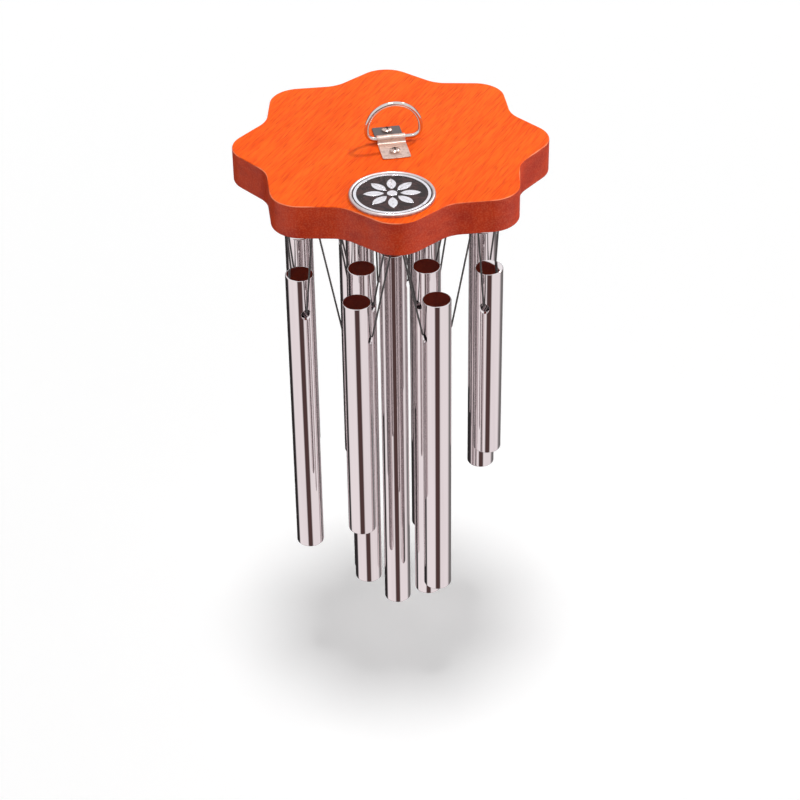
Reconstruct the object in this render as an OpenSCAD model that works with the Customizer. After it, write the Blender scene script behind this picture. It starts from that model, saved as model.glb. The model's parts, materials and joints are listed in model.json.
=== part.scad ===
// Hand chime: an eight-lobed wooden head hung from a D-ring, with thirteen
// solid metal bars on cords below it. Origin at the hook point, the inside
// of the D-ring's top. +Z is up, the badge is on the -Y side.

/* [Wooden head] */
// Width of the head across opposite lobe tips
head_across = 152; // [145:1:180]
// Thickness of the head
head_t = 17.4; // [12:0.2:24]
// Depth of each valley inside the lobe tips
valley_depth = 10.6; // [8:0.2:13]
// Radius of each lobe's round end
lobe_r = 15; // [12:0.5:18]
// Radius of each valley's hollow
valley_r = 16; // [13:0.5:20]

/* [Bars] */
// Diameter of every bar
bar_d = 14; // [11:0.5:16]
// Length of the longest bar, the one in the centre
longest_bar = 222; // [170:1:300]
// How much shorter each next bar is
bar_step = 9.5; // [5:0.5:11]
// Bevel on the bars' end edges
bar_bevel = 0.6; // [0.3:0.1:1]
// Radius of the circle that the eight outer bars hang on
outer_ring_r = 50; // [46:0.5:52]
// Radius of the circle that the four inner bars hang on
inner_ring_r = 22.5; // [21:0.5:25]
// Drop from the head's underside to the bars' top ends
bar_drop = 43.1; // [38:0.1:60]
// Distance from a bar's top end to its cross hole
hole_down = 20; // [14:0.5:26]
// Diameter of the cross holes
hole_d = 4.4; // [3:0.1:5]
// Bevel round each cross hole's mouth
hole_bevel = 0.8; // [0.2:0.1:1.2]

/* [Cords and eyes] */
// Diameter of the cords
cord_d = 1; // [0.8:0.1:1.5]
// Diameter of the screw eyes' wire
eye_wire = 1.2; // [1:0.1:1.6]
// Inside diameter of the screw eyes
eye_inner_d = 3.4; // [3.2:0.1:4.4]
// Diameter of the screw eyes' threaded shank
eye_shank_d = 1.6; // [1.4:0.1:2]
// Height of bare shank between the head and an eye
eye_neck = 1; // [0.5:0.1:3]
// Depth of the screw eyes in the wood
eye_depth = 8; // [5:0.5:10]
// Sideways place of the centre bar's two screw eyes
centre_eye_x = 10; // [9:0.5:12]
// How much wider the centre cord's stopper knots are than an eye's hole
knot_over = 0.6; // [0.4:0.1:1]

/* [Hanging ring] */
// Outside width of the D-ring
ring_w = 28.4; // [25:0.2:34]
// Diameter of the D-ring's wire
ring_wire = 2.2; // [1.6:0.1:2.4]
// Radius of the D-ring's lower corners, to the wire's centre
ring_corner_r = 4.2; // [3:0.1:4.6]
// Straight side of the D-ring between corner and arch
ring_side = 0.8; // [0:0.2:4]
// How far the D-ring sits to the right in its strap
ring_shift = 1.4; // [0:0.1:1.5]
// Height of the D-ring's bar above the head
ring_bar_up = 2.2; // [1.5:0.1:2.8]
// Turn of the strap on the head, in degrees
strap_turn = 8; // [0:1:20]
// Width of the strap
strap_w = 13.6; // [12:0.2:13.8]
// Length of the strap
strap_l = 31; // [28:0.2:33]
// How far the strap sits to the front on the D-ring's bar
strap_forward = 1; // [0:0.2:2]
// Thickness of the strap's sheet metal
strap_t = 0.6; // [0.5:0.1:0.8]
// Distance between the strap's two screws
screw_pitch = 20.6; // [18:0.2:24]
// Diameter of the screws' heads
screw_head_d = 5.2; // [4.6:0.1:6]
// Height of the screws' heads
screw_head_h = 1.7; // [1.4:0.1:2]
// Diameter of the screws' shanks
screw_d = 2.6; // [2.2:0.1:3]
// Length of the screws' shanks
screw_l = 11; // [9:0.5:11.5]
// Length of the arms of the screws' cross recess
recess_l = 2.9; // [2.4:0.1:3.4]
// Width of the arms of the screws' cross recess
recess_w = 0.7; // [0.5:0.1:0.9]
// Depth of the screws' cross recess
recess_depth = 0.9; // [0.6:0.1:1.1]

/* [Badge] */
// Diameter of the badge
badge_d = 40.4; // [34:0.2:41]
// Distance from the front lobe's tip to the badge's edge
badge_inset = 5; // [4:0.2:8]
// How far the badge sits to the left of the front lobe's line
badge_side = 1.6; // [0:0.2:2.4]
// Thickness of the badge's base sheet
badge_base_t = 0.6; // [0.4:0.1:1]
// Height of the badge's outer bead
badge_bead_h = 1.7; // [1.4:0.1:2.2]
// Thickness of the badge's enamel face
badge_face_t = 0.5; // [0.3:0.1:0.7]
// Thickness of the badge's rosette
rosette_t = 0.3; // [0.2:0.1:0.6]

/* [Fits] */
// Radial clearance of the D-ring's bar in its strap
ring_fit = 0.08; // [0.02:0.01:0.1]
// Clearance between a cord and what it rests on
cord_rest = 0.05; // [0.03:0.01:0.1]
// Clearance beside a cord where it turns down or up
cord_turn = 0.3; // [0.2:0.05:0.5]
// Radial clearance of a screw or eye in its hole
thread_fit = 0.03; // [0.01:0.01:0.06]
// Clearance of the enamel face in its recess
face_fit = 0.05; // [0.02:0.01:0.1]

/* [Hidden] */
$fn = 96;
// Room left below the tips of screws and eyes
hole_spare = 0.5;
// How far a cutting shape runs past what it cuts
over = 1;
// Width of the blunt tips of screws and eyes, as a share of their shanks
tip_share = 0.2;
// Inside radius of the strap's bends, in thicknesses of its sheet
strap_bend = 1.6;

// The order of the bars by length, 0 for the longest: the outer ring from the
// front lobe's right neighbour round to its left one, then the inner ring.
outer_order = [5, 12, 8, 11, 7, 10, 6, 9];
inner_order = [2, 4, 1, 3];

// Head
lobes = 8;
lobe_turn = 360 / lobes;
half_turn = lobe_turn / 2;
tip_r = head_across / 2;
lobe_centre_r = tip_r - lobe_r;
valley_centre_r = tip_r - valley_depth + valley_r;
centre_gap_x = valley_centre_r * sin(half_turn);
centre_gap_y = valley_centre_r * cos(half_turn) - lobe_centre_r;
centre_gap = norm([centre_gap_x, centre_gap_y]);
// Angle, from a lobe's outward line, of the point where its round end meets
// the straight flank that leads to the valley
flank_turn = atan2(centre_gap_x, centre_gap_y) - acos((lobe_r + valley_r) / centre_gap);
flank_l = sqrt(centre_gap ^ 2 - (lobe_r + valley_r) ^ 2);

// Hanging ring, measured from the centre of its bar
ring_half_w = (ring_w - ring_wire) / 2;
ring_arch_up = ring_corner_r + ring_side;
hook_up = ring_arch_up + ring_half_w - ring_wire / 2;
strap_bore_r = ring_wire / 2 + ring_fit;
strap_out_r = strap_bore_r + strap_t;

// Heights below the hook point
ring_bar_z = -hook_up;
head_top_z = ring_bar_z - ring_bar_up;
head_low_z = head_top_z - head_t;
eye_mean_r = (eye_inner_d + eye_wire) / 2;
eye_z = -eye_neck - eye_mean_r - eye_wire / 2;
// Height of the cords' turning line below the head's underside: a cord rests
// on the bottom of its eye
pivot_z = eye_z - eye_mean_r + eye_wire / 2 + cord_d / 2 + cord_rest;
bar_top_z = -bar_drop;
hole_z = bar_top_z - hole_down;
// A bar hangs with the top of its cross hole on the cord
cord_z = hole_z + hole_d / 2 - cord_d / 2 - cord_rest;
cord_out = bar_d / 2 + cord_d / 2 + cord_turn / 2;

// Screw eyes: an eye is shared by the two cords on either side of it, so the
// eyes stand where neighbouring cords' turning lines meet
inner_lobes = 4;
inner_half_turn = 180 / inner_lobes;
outer_eye_r = outer_ring_r / cos(half_turn);
inner_eye_r = inner_ring_r / cos(inner_half_turn);
knot_r = (eye_inner_d + knot_over) / 2;

// Cords
cord_r = cord_d / 2;
elbow_r = 0.9 * cord_d;
elbow_steps = 4;
cord_sides = 10;
// How far round its ball a stopper knot is drawn, to each side, and in what steps
knot_turn = 66;
knot_step = 22;
// Where a cord enters its knot, as a share of the knot's radius
knot_entry = 0.95;

// Badge: the edges of its bead and flat ring, then its petals
badge_r = badge_d / 2;
badge_out = tip_r - badge_inset - badge_r;
bead_in_r = 0.93 * badge_r;
step_out_r = 0.905 * badge_r;
step_in_r = 0.82 * badge_r;
step_drop = 0.4;
petal_mid_r = 0.42 * badge_r;
petal_l = 0.47 * badge_r;
petal_w = 0.22 * badge_r;
middle_r = 0.12 * badge_r;

// Places

// Moves to the head's own frame, with its underside at z = 0
module on_head() {
    translate([-ring_shift * cos(strap_turn), -ring_shift * sin(strap_turn), head_low_z]) children();
}

// Moves to the strap's frame: centre of the D-ring's bar, along X
module on_strap() {
    on_head() translate([0, 0, head_t + ring_bar_up]) rotate([0, 0, strap_turn]) children();
}

// Turns to a place on a circle round the head's centre, counted from the front
module round_head(turn, r) {
    on_head() rotate([0, 0, turn]) translate([0, -r, 0]) children();
}

// Wooden head

module head_outline() {
    difference() {
        union() {
            polygon([for (i = [0 : lobes - 1]) each [
                flank_point(i, -1, flank_l), flank_point(i, -1, 0),
                flank_point(i, 1, 0), flank_point(i, 1, flank_l)]]);
            for (i = [0 : lobes - 1]) rotate(i * lobe_turn) translate([0, -lobe_centre_r])
                circle(r = lobe_r);
        }
        for (i = [0 : lobes - 1]) rotate((i + 0.5) * lobe_turn) translate([0, -valley_centre_r])
            circle(r = valley_r);
    }
}

// A point on the straight flank to one side of lobe i, some way on from its round end
function flank_point(i, side, along) =
    let (lobe = i * lobe_turn, flank = lobe + side * flank_turn)
    lobe_centre_r * [sin(lobe), -cos(lobe)] + lobe_r * [sin(flank), -cos(flank)]
    + along * side * [cos(flank), sin(flank)];

module wooden_head() {
    color([0.9, 0.38, 0.13]) on_head() difference() {
        linear_extrude(head_t) head_outline();
        for (y = [-1, 1]) rotate([0, 0, strap_turn])
            translate([0, y * screw_pitch / 2, head_t + strap_t - screw_l - hole_spare])
                cylinder(r = screw_d / 2 + thread_fit, h = screw_l + hole_spare);
        for (i = [0 : lobes - 1]) rotate([0, 0, i * lobe_turn])
            translate([0, -outer_eye_r, 0]) eye_hole();
        for (i = [0 : inner_lobes - 1]) rotate([0, 0, i * 360 / inner_lobes])
            translate([0, -inner_eye_r, 0]) eye_hole();
        for (x = [-1, 1]) translate([x * centre_eye_x, 0, 0]) eye_hole();
    }
}

module eye_hole() {
    translate([0, 0, -over])
        cylinder(r = eye_shank_d / 2 + thread_fit, h = over + eye_depth + hole_spare);
}

// Hanging ring, strap and its screws

module hang_ring() {
    bar_l = 2 * (ring_half_w - ring_corner_r);
    color([0.8, 0.79, 0.77]) rotate([0, 0, strap_turn]) translate([0, 0, ring_bar_z]) {
        translate([-bar_l / 2, 0, 0]) rotate([0, 90, 0]) cylinder(d = ring_wire, h = bar_l);
        for (side = [0, 1]) mirror([side, 0, 0]) {
            translate([bar_l / 2, 0, ring_corner_r]) ring_bend(-90, ring_corner_r, 90);
            translate([ring_half_w, 0, ring_corner_r]) cylinder(d = ring_wire, h = ring_side);
        }
        translate([0, 0, ring_arch_up]) ring_bend(0, ring_half_w, 180);
    }
}

// A bent length of wire in the XZ plane, counted from +X towards +Z
module ring_bend(from, r, turn) {
    rotate([90, 0, 0]) rotate([0, 0, from]) rotate_extrude(angle = turn)
        translate([r, 0]) circle(d = ring_wire);
}

// The strap's section across the D-ring's bar: a hump with a flat tab each side
module strap_section() {
    tab_top = strap_t - ring_bar_up;
    bend_r = strap_bend * strap_t;
    difference() {
        union() {
            translate([-strap_l / 2 - strap_forward, -ring_bar_up]) square([strap_l, strap_t]);
            translate([-strap_out_r, -ring_bar_up]) square([2 * strap_out_r, ring_bar_up]);
            circle(r = strap_out_r);
            for (side = [0, 1]) mirror([side, 0]) difference() {
                translate([strap_out_r - bend_r / 2, tab_top - strap_t / 2])
                    square([1.5 * bend_r, bend_r + strap_t / 2]);
                translate([strap_out_r + bend_r, tab_top + bend_r]) circle(r = bend_r);
            }
        }
        circle(r = strap_bore_r);
        translate([-strap_bore_r, -ring_bar_up - strap_t])
            square([2 * strap_bore_r, ring_bar_up + strap_t]);
    }
}

module ring_strap() {
    color([0.82, 0.8, 0.78]) on_strap() difference() {
        translate([-strap_w / 2, 0, 0]) rotate([90, 0, 90]) linear_extrude(strap_w) strap_section();
        for (y = [-1, 1]) translate([0, y * screw_pitch / 2, -ring_bar_up - strap_t])
            cylinder(r = screw_d / 2 + thread_fit, h = 3 * strap_t);
    }
}

module strap_screws() {
    color([0.85, 0.84, 0.82]) on_strap() for (y = [-1, 1])
        translate([0, y * screw_pitch / 2, strap_t - ring_bar_up]) strap_screw();
}

// A pan-head wood screw with a cross recess, standing on its head's underside
module strap_screw() {
    head_r = screw_head_d / 2;
    rim_h = screw_head_h / 2;
    dome_h = screw_head_h - rim_h;
    dome_r = (head_r ^ 2 + dome_h ^ 2) / (2 * dome_h);
    tip_l = screw_d;
    difference() {
        rotate_extrude() intersection() {
            square([head_r, screw_head_h]);
            translate([0, screw_head_h - dome_r]) circle(r = dome_r);
        }
        for (turn = [0, 90]) rotate([0, 0, turn])
            translate([-recess_l / 2, -recess_w / 2, screw_head_h - recess_depth])
                cube([recess_l, recess_w, recess_depth + over]);
    }
    translate([0, 0, tip_l - screw_l]) cylinder(d = screw_d, h = screw_l - tip_l);
    translate([0, 0, -screw_l]) cylinder(d1 = tip_share * screw_d, d2 = screw_d, h = tip_l);
}

// Badge

module on_badge() {
    on_head() translate([-badge_side, -badge_out, head_t]) children();
}

// Base sheet with a domed outer bead and a flat inner ring
module badge_rim() {
    bead_w = badge_r - bead_in_r;
    color([0.86, 0.85, 0.85]) on_badge() rotate_extrude() {
        square([badge_r, badge_base_t]);
        translate([step_in_r, 0]) square([step_out_r - step_in_r, badge_bead_h - step_drop]);
        translate([bead_in_r, 0]) square([bead_w, badge_bead_h - bead_w / 2]);
        translate([bead_in_r + bead_w / 2, badge_bead_h - bead_w / 2]) circle(d = bead_w, $fn = 48);
    }
}

module badge_face() {
    color([0.05, 0.05, 0.05]) on_badge() translate([0, 0, badge_base_t])
        cylinder(r = step_in_r - face_fit, h = badge_face_t);
}

// Eight petals and a round middle, each a separate piece
module badge_rosette() {
    arc_half_gap = (petal_l ^ 2 - petal_w ^ 2) / (4 * petal_w);
    arc_r = arc_half_gap + petal_w / 2;
    color([0.9, 0.89, 0.89]) on_badge() translate([0, 0, badge_base_t + badge_face_t])
        linear_extrude(rosette_t) {
            circle(r = middle_r);
            for (i = [0 : lobes - 1]) rotate(i * lobe_turn) translate([0, petal_mid_r]) intersection() {
                translate([arc_half_gap, 0]) circle(r = arc_r);
                translate([-arc_half_gap, 0]) circle(r = arc_r);
            }
        }
}

// Screw eyes

// An eye with its hole along X, below the head's underside at z = 0
module screw_eye() {
    shank_top = eye_z + eye_mean_r;
    tip_l = eye_shank_d;
    translate([0, 0, eye_z]) rotate([0, 90, 0]) rotate_extrude() translate([eye_mean_r, 0])
        circle(d = eye_wire, $fn = 48);
    translate([0, 0, shank_top]) cylinder(d = eye_shank_d, h = eye_depth - tip_l - shank_top);
    translate([0, 0, eye_depth - tip_l]) cylinder(d1 = eye_shank_d, d2 = tip_share * eye_shank_d, h = tip_l);
}

module outer_eyes() {
    color([0.8, 0.78, 0.74]) for (i = [0 : lobes - 1]) round_head(i * lobe_turn, outer_eye_r) screw_eye();
}

module inner_eyes() {
    color([0.8, 0.78, 0.74]) for (i = [0 : inner_lobes - 1])
        round_head(i * 360 / inner_lobes, inner_eye_r) screw_eye();
}

module centre_eyes() {
    color([0.8, 0.78, 0.74]) for (x = [-1, 1]) on_head() translate([x * centre_eye_x, 0, 0]) screw_eye();
}

// Cords. Each lies in its own XZ plane: from an eye down to the cross hole,
// through it and up to the other eye. Its turning line is X at pivot_z.

function top_out(eye_x, meet) = eye_x - (eye_wire / 2 + cord_r + cord_turn) / cos(meet);

// Stations along the right half of a cord, from its middle outwards: place along
// X, height, slope in degrees and radius
function half_route(eye_x, meet, stub_out) =
    let (
        top_x = top_out(eye_x, meet),
        steep = atan2(pivot_z - cord_z, top_x - cord_out),
        elbow_l = elbow_r * tan(steep / 2),
        steps = [0 : 1 / elbow_steps : 1]
    ) [
        for (k = steps) let (slope = k * steep)
            [cord_out - elbow_l + elbow_r * sin(slope), cord_z + elbow_r * (1 - cos(slope)), slope, cord_r],
        for (k = steps) let (slope = (1 - k) * steep)
            [top_x + elbow_l - elbow_r * sin(slope), pivot_z - elbow_r * (1 - cos(slope)), slope, cord_r],
        [stub_out, pivot_z, 0, cord_r]
    ];

// The stations of a stopper knot, a ball round the cord's end
function knot_stations(x) = [for (turn = [-knot_turn : knot_step : knot_turn])
    [x + knot_r * sin(turn), pivot_z, 0, knot_r * cos(turn)]];

// A tube through the stations of one half and their mirror image
module cord_tube(half) {
    stations = concat(
        [for (i = [len(half) - 1 : -1 : 0]) let (p = half[i]) [-p[0], p[1], -p[2], p[3]]], half);
    count = len(stations);
    points = [for (p = stations) for (k = [0 : cord_sides - 1]) let (a = k * 360 / cord_sides)
        [p[0] - p[3] * cos(a) * sin(p[2]), p[3] * sin(a), p[1] + p[3] * cos(a) * cos(p[2])]];
    faces = concat(
        [[for (k = [cord_sides - 1 : -1 : 0]) k]],
        [for (i = [0 : count - 2]) for (k = [0 : cord_sides - 1])
            let (next = (k + 1) % cord_sides, low = i * cord_sides)
            each [[low + k, low + next, low + cord_sides + next],
                [low + k, low + cord_sides + next, low + cord_sides + k]]],
        [[for (k = [0 : cord_sides - 1]) (count - 1) * cord_sides + k]]);
    color([0.06, 0.06, 0.06]) polyhedron(points, faces, convexity = 4);
}

// Neighbouring cords meet inside their eye, end to end with a little room
module ring_cord(turn, r, meet) {
    eye_x = r * tan(meet);
    stub_out = eye_x - cord_r * tan(meet) - cord_rest;
    round_head(turn, r) cord_tube(half_route(eye_x, meet, stub_out));
}

module outer_cord(i) {
    ring_cord((i - 0.5) * lobe_turn, outer_ring_r, half_turn);
}

module inner_cord(i) {
    ring_cord((i - 0.5) * 360 / inner_lobes, inner_ring_r, inner_half_turn);
}

module centre_cord() {
    knot_x = centre_eye_x + eye_wire / 2 + knot_r + cord_rest;
    stub_out = knot_x - knot_entry * knot_r;
    on_head() cord_tube(concat(half_route(centre_eye_x, 0, stub_out), knot_stations(knot_x)));
}

// Bars

// A solid bar, order places shorter than the longest, with its cross hole along X
module bar(order) {
    bar_l = longest_bar - order * bar_step;
    bar_r = bar_d / 2;
    mouth_r = hole_d / 2 + hole_bevel;
    color([0.83, 0.81, 0.82]) difference() {
        translate([0, 0, bar_top_z - bar_l]) rotate_extrude() polygon([[0, 0], [bar_r - bar_bevel, 0],
            [bar_r, bar_bevel], [bar_r, bar_l - bar_bevel], [bar_r - bar_bevel, bar_l], [0, bar_l]]);
        translate([-bar_r - over, 0, hole_z]) rotate([0, 90, 0])
            cylinder(d = hole_d, h = bar_d + 2 * over);
        for (side = [0, 1]) mirror([side, 0, 0]) translate([bar_r - 2 * hole_bevel, 0, hole_z])
            rotate([0, 90, 0])
                cylinder(r1 = hole_d / 2 - hole_bevel, r2 = mouth_r + hole_bevel, h = 3 * hole_bevel);
    }
}

module outer_bar(i) {
    round_head((i - 0.5) * lobe_turn, outer_ring_r) bar(outer_order[i - 1]);
}

module inner_bar(i) {
    round_head((i - 0.5) * 360 / inner_lobes, inner_ring_r) bar(inner_order[i - 1]);
}

module centre_bar() {
    on_head() bar(0);
}

hang_ring();
ring_strap();
strap_screws();
wooden_head();
badge_rim();
badge_face();
badge_rosette();
outer_eyes();
inner_eyes();
centre_eyes();
for (i = [1 : lobes]) {
    outer_cord(i);
    outer_bar(i);
}
for (i = [1 : inner_lobes]) {
    inner_cord(i);
    inner_bar(i);
}
centre_cord();
centre_bar();
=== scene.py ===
import json
from math import acos, atan2, cos, degrees, dist, hypot, pi, radians, sin, sqrt, tan

import bpy
from mathutils import Matrix, Vector


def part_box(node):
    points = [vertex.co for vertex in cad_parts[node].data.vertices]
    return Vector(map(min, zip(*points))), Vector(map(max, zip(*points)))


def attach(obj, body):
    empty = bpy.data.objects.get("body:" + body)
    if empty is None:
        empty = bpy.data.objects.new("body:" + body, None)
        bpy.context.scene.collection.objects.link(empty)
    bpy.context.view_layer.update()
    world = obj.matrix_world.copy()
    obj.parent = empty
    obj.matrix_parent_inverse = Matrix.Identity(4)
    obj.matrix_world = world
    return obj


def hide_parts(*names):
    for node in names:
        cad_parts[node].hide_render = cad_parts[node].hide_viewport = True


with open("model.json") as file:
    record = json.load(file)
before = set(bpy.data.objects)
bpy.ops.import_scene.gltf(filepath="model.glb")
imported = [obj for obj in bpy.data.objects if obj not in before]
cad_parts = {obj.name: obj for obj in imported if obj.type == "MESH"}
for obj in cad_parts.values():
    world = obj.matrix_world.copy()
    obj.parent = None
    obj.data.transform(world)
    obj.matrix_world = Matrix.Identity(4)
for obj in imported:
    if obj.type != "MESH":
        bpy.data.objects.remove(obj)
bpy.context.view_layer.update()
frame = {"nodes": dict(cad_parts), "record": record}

# Hand chime. Lengths in the dictionaries are millimetres in the part's own frame, angles are degrees.
mm = 0.001
headLow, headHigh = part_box("wooden_head")
headCentre = (headLow + headHigh) / 2
print("frame loaded:", len(frame["nodes"]), "nodes")


def rgb(r, g, b):
    # A colour as a screen shows it, 0 to 255, turned into the renderer's linear values
    parts = [c / 255 for c in (r, g, b)]
    return tuple(c / 12.92 if c <= 0.04045 else ((c + 0.055) / 1.055) ** 2.4 for c in parts) + (1.0,)


def toward(turn):
    # Unit vector round the head, counted counterclockwise from the front
    return Vector((sin(radians(turn)), -cos(radians(turn)), 0))


def rotation(turn, axis="Z"):
    return Matrix.Rotation(radians(turn), 4, axis)


def placed(x, y, z, turn=0.0):
    return Matrix.Translation((x, y, z)) @ rotation(turn)


def turnsBetween(first, last, steps):
    # Even turns from one to the other, in radians
    return [radians(first + (last - first) * k / steps) for k in range(steps + 1)]


def bodyOf(node):
    bodies = frame["record"]["behaviour"]["bodies"]
    return next(body for body, nodes in bodies.items() if node in nodes)


def addObject(name, data):
    thing = bpy.data.objects.new(name, data)
    bpy.context.scene.collection.objects.link(thing)
    return thing


def makePiece(name, part, material, body, place):
    # A part is (verts, faces, normals). Without normals it's shaded by its own faces.
    verts, faces, normals = part
    mesh = bpy.data.meshes.new(name)
    mesh.from_pydata([Vector(v) * mm for v in verts], [], faces)
    mesh.polygons.foreach_set("use_smooth", [True] * len(mesh.polygons))
    piece = addObject(name, mesh)
    mesh.transform(place)
    if normals:
        turn = place.to_3x3()
        directions = [(turn @ Vector(n)).normalized() for n in normals]
        mesh.normals_split_custom_set_from_vertices(directions)
    mesh.materials.append(material)
    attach(piece, body)
    return piece


def joinParts(parts):
    verts, faces, normals = [], [], []
    for partVerts, partFaces, partNormals in parts:
        start = len(verts)
        verts += partVerts
        normals += partNormals
        faces += [tuple(start + i for i in face) for face in partFaces]
    return verts, faces, normals


def movePart(part, matrix):
    verts, faces, normals = part
    turn = matrix.to_3x3()
    return [matrix @ Vector(v) for v in verts], faces, [turn @ Vector(n) for n in normals]


def joinRings(low, high, skip=()):
    # Faces between two rings of as many points, except at the places to skip
    faces = []
    for k in range(len(low)):
        if k not in skip:
            after = (k + 1) % len(low)
            faces.append((low[k], low[after], high[after], high[k]))
    return faces


def closeRing(middle, ring, upward):
    # Faces from a ring to the point in its middle, which look up or down
    faces = []
    for k, here in enumerate(ring):
        after = ring[(k + 1) % len(ring)]
        faces.append((middle, here, after) if upward else (middle, after, here))
    return faces


def ringGrid(count, rows):
    # Faces over rows of points, each row a ring, and over the two ends. The middles of the ends are
    # two more points, which come after the rings.
    rings = [range(row * count, (row + 1) * count) for row in range(rows)]
    faces = []
    for low, high in zip(rings, rings[1:]):
        faces += joinRings(low, high)
    middle = rows * count
    return faces + closeRing(middle, rings[0], False) + closeRing(middle + 1, rings[-1], True)


def turnedRing(radius, height, outward, upward, sides):
    # One row of a turned shape: its points and their normals
    verts, normals = [], []
    for k in range(sides):
        a = 2 * pi * k / sides
        verts.append((radius * cos(a), radius * sin(a), height))
        normals.append((outward * cos(a), outward * sin(a), upward))
    return verts, normals


def lathe(profile, sides):
    # A turned shape. The profile goes from the axis at the bottom round the outside to the axis at
    # the top, as (radius, height, normal's outward part, normal's upward part).
    verts, normals = [], []
    for row in profile[1:-1]:
        rowVerts, rowNormals = turnedRing(*row, sides)
        verts += rowVerts
        normals += rowNormals
    for end in (profile[0], profile[-1]):
        verts.append((0, 0, end[1]))
        normals.append((0, 0, end[3]))
    return verts, ringGrid(sides, len(profile) - 2), normals


def arcProfile(radius, height, size, fromTurn, toTurn, steps=6):
    # Profile points on an arc about (radius, height). A turn of 0 faces outward, 90 up and -90 down.
    points = []
    for turn in turnsBetween(fromTurn, toTurn, steps):
        out, up = cos(turn), sin(turn)
        points.append((radius + size * out, height + size * up, out, up))
    return points


def easedPlate(outline, thickness, lowEase, topEase, steps=5):
    # A flat piece with rounded edges. outline(inset) gives each (point, outward direction) round it,
    # and copies of it that shrink to the middle close the two flat faces.
    verts, normals = [], []

    def addRow(inset, z, upward, share=1.0):
        outward = sqrt(max(0.0, 1 - upward * upward))
        for point, out in outline(inset):
            verts.append(Vector((point.x * share, point.y * share, z)))
            normals.append(out * outward + Vector((0, 0, upward)))

    shares = (0.06, 0.3, 0.6, 0.85, 0.96)
    for share in shares:
        addRow(lowEase, 0, -1, share)
    for turn in turnsBetween(-90, 0, steps):
        up = sin(turn)
        addRow(lowEase * (1 - cos(turn)), lowEase * (1 + up), up)
    for turn in turnsBetween(0, 90, steps):
        up = sin(turn)
        addRow(topEase * (1 - cos(turn)), thickness - topEase * (1 - up), up)
    for share in reversed(shares):
        addRow(topEase, thickness, 1, share)
    count = len(outline(0))
    faces = ringGrid(count, len(verts) // count)
    verts += [Vector((0, 0, 0)), Vector((0, 0, thickness))]
    normals += [Vector((0, 0, -1)), Vector((0, 0, 1))]
    return verts, faces, normals


def ribbon(path, width, thickness, ease, corner, step=0.2, quarterSteps=4):
    # A strip of sheet along a path in the YZ plane, its edges and the corners of its ends rounded
    points = evenSteps(path, step)
    last = len(points) - 1
    quarters = ((0, 1, 1), (90, -1, 1), (180, -1, -1), (270, 1, -1))
    verts, normals = [], []

    def nearEnd(full, rounding, toEnd):
        # Half of a full size, less than that where the end's rounding begins
        return full / 2 - rounding + sqrt(max(0, rounding ** 2 - max(0, rounding - toEnd) ** 2))

    for i, point in enumerate(points):
        tangent = (points[min(last, i + 1)] - points[max(0, i - 1)]).normalized()
        up = tangent.cross(Vector((1, 0, 0)))
        toEnd = min(i, last - i) * step
        halfWidth = nearEnd(width, corner, toEnd)
        halfThick = nearEnd(thickness, ease, toEnd)
        for start, sideX, sideUp in quarters:
            for turn in turnsBetween(start, start + 90, quarterSteps):
                x = sideX * (halfWidth - ease) + ease * cos(turn)
                rise = sideUp * (halfThick - ease) + ease * sin(turn)
                verts.append(point + Vector((x, 0, 0)) + up * rise)
                normals.append(Vector((cos(turn), 0, 0)) + up * sin(turn))
    faces = ringGrid(len(quarters) * (quarterSteps + 1), len(points))
    verts += [points[0], points[-1]]
    normals += [points[0] - points[1], points[-1] - points[-2]]
    return verts, faces, normals


def sweep(points, radius, sides, closed=False, section=None):
    # A round bar along a path. section(angle, distance along) gives a share of the radius.
    count = len(points)
    tangents = []
    for i in range(count):
        before = points[i - 1] if closed or i else points[i]
        after = points[(i + 1) % count] if closed or i < count - 1 else points[i]
        tangents.append((after - before).normalized())
    side = tangents[0].orthogonal().normalized()
    verts, normals, along = [], [], 0.0
    for i, (point, tangent) in enumerate(zip(points, tangents)):
        if i:
            along += (point - points[i - 1]).length
        side = (side - tangent * side.dot(tangent)).normalized()
        other = tangent.cross(side)
        for k in range(sides):
            a = 2 * pi * k / sides
            out = side * cos(a) + other * sin(a)
            share = section(a, along) if section else 1
            verts.append(point + out * radius * share)
            normals.append(out)
    if closed:
        rings = [range(i * sides, (i + 1) * sides) for i in range(count)]
        faces = []
        for low, high in zip(rings, rings[1:] + rings[:1]):
            faces += joinRings(low, high)
        return verts, faces, normals
    verts += [points[0], points[-1]]
    normals += [-tangents[0], tangents[-1]]
    return verts, ringGrid(sides, count), normals


def arc(centre, radius, fromTurn, toTurn, steps, plane="XZ"):
    # Points on an arc in a plane, counted from its first axis towards its second
    points = []
    for turn in turnsBetween(fromTurn, toTurn, steps):
        first, second = radius * cos(turn), radius * sin(turn)
        offset = (first, 0, second) if plane == "XZ" else (0, first, second)
        points.append(Vector(centre) + Vector(offset))
    return points


def linked(parts):
    # One path from several lists of points, without the points that repeat
    path = []
    for point in [Vector(p) for part in parts for p in part]:
        if not path or (point - path[-1]).length > 1e-4:
            path.append(point)
    return path


def evenSteps(path, step):
    # The same path with points an even step apart
    lengths = [0.0]
    for a, b in zip(path, path[1:]):
        lengths.append(lengths[-1] + (b - a).length)
    count = max(2, round(lengths[-1] / step))
    result, i = [], 0
    for k in range(count + 1):
        want = lengths[-1] * k / count
        while i < len(path) - 2 and lengths[i + 1] < want:
            i += 1
        share = (want - lengths[i]) / (lengths[i + 1] - lengths[i])
        result.append(path[i].lerp(path[i + 1], min(1, share)))
    return result


# Camera, at the photograph's viewing angle
camera = {
    "place": (-35.0, -944.4, 502.7),
    "yaw": -2.22,        # from straight along +Y
    "down": 34.24,
    "roll": -0.78,
    "sensor": 36.0,
    "lens": 101.1,
    "shiftUp": -0.0611,
    "clip": (10.0, 20000.0),
}


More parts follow.
